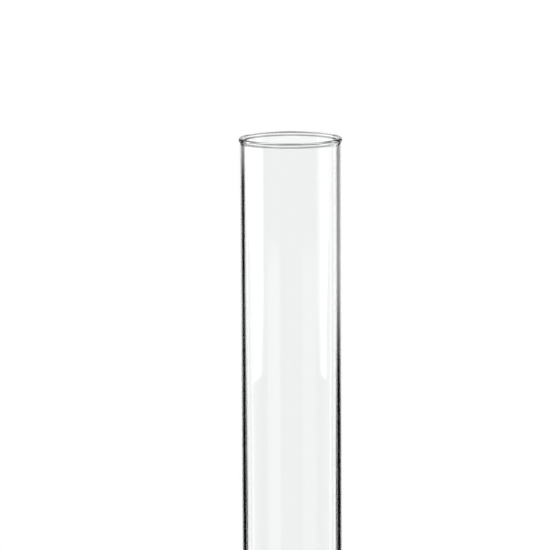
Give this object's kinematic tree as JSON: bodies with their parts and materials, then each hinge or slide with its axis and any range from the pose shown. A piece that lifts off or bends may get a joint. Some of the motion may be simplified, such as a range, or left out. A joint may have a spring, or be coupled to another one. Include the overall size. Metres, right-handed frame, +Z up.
{
  "type": "liebig condenser",
  "caption": "Demountable Liebig condenser: a plain wide-topped glass vapour tube held in a glass water jacket by screw caps and seals, with bent hose connectors.",
  "frame": {"origin": "on the vapour tube's axis, half way up the jacket, where a clamp holds it", "axes": "+Z up the tube's axis towards the wide open top, +X towards the lower side arm, the water inlet"},
  "size_m": [0.121, 0.032, 0.5067],
  "materials": {
    "tube_glass": "gloss",
    "jacket_glass": "gloss",
    "seal_silicone": "matte",
    "cap_plastic": "satin",
    "connector_plastic": "satin"
  },
  "bodies": {
    "jacket": {"jacket": "jacket_glass"},
    "tube": {"inner_tube": "tube_glass"},
    "upper_seal": {"upper_seal": "seal_silicone"},
    "upper_cap": {"upper_cap": "cap_plastic"},
    "lower_seal": {"lower_seal": "seal_silicone"},
    "lower_cap": {"lower_cap": "cap_plastic"},
    "outlet_washer": {"outlet_washer": "seal_silicone"},
    "outlet_connector": {"outlet_connector": "connector_plastic"},
    "outlet_cap": {"outlet_cap": "cap_plastic"},
    "inlet_washer": {"inlet_washer": "seal_silicone"},
    "inlet_connector": {"inlet_connector": "connector_plastic"},
    "inlet_cap": {"inlet_cap": "cap_plastic"}
  },
  "joints": [
    {"name": "tube_slide", "type": "slide", "parent": "jacket", "child": "tube", "axis": [0, 0, 1], "range_m": [-0.005, 0.08]},
    {"name": "upper_seal_lift", "type": "slide", "parent": "jacket", "child": "upper_seal", "axis": [0, 0, 1], "range_m": [0, 0.0091]},
    {"name": "upper_cap_turn", "type": "hinge", "parent": "upper_seal", "child": "upper_cap", "pos_m": [0, 0, 0.125], "axis": [0, 0, 1], "range_deg": [0, 1080]},
    {"name": "lower_seal_lift", "type": "slide", "parent": "jacket", "child": "lower_seal", "axis": [0, 0, -1], "range_m": [0, 0.0091]},
    {"name": "lower_cap_turn", "type": "hinge", "parent": "lower_seal", "child": "lower_cap", "pos_m": [0, 0, -0.125], "axis": [0, 0, -1], "range_deg": [0, 1080]},
    {"name": "outlet_washer_lift", "type": "slide", "parent": "jacket", "child": "outlet_washer", "axis": [-1, 0, 0], "range_m": [0, 0.0076]},
    {"name": "outlet_cap_turn", "type": "hinge", "parent": "outlet_washer", "child": "outlet_cap", "pos_m": [-0.037, 0, 0.078], "axis": [-1, 0, 0], "range_deg": [0, 1080]},
    {"name": "outlet_swivel", "type": "hinge", "parent": "outlet_washer", "child": "outlet_connector", "pos_m": [-0.0385, 0, 0.078], "axis": [-1, 0, 0], "continuous": true},
    {"name": "inlet_washer_lift", "type": "slide", "parent": "jacket", "child": "inlet_washer", "axis": [1, 0, 0], "range_m": [0, 0.0076]},
    {"name": "inlet_cap_turn", "type": "hinge", "parent": "inlet_washer", "child": "inlet_cap", "pos_m": [0.037, 0, -0.078], "axis": [1, 0, 0], "range_deg": [0, 1080]},
    {"name": "inlet_swivel", "type": "hinge", "parent": "inlet_washer", "child": "inlet_connector", "pos_m": [0.0385, 0, -0.078], "axis": [1, 0, 0], "continuous": true}
  ],
  "couplings": [
    {"joint": "upper_seal_lift", "follows": "upper_cap_turn", "m_per_rad": 0.00047746},
    {"joint": "lower_seal_lift", "follows": "lower_cap_turn", "m_per_rad": 0.00047746},
    {"joint": "outlet_washer_lift", "follows": "outlet_cap_turn", "m_per_rad": 0.00039789},
    {"joint": "inlet_washer_lift", "follows": "inlet_cap_turn", "m_per_rad": 0.00039789}
  ]
}
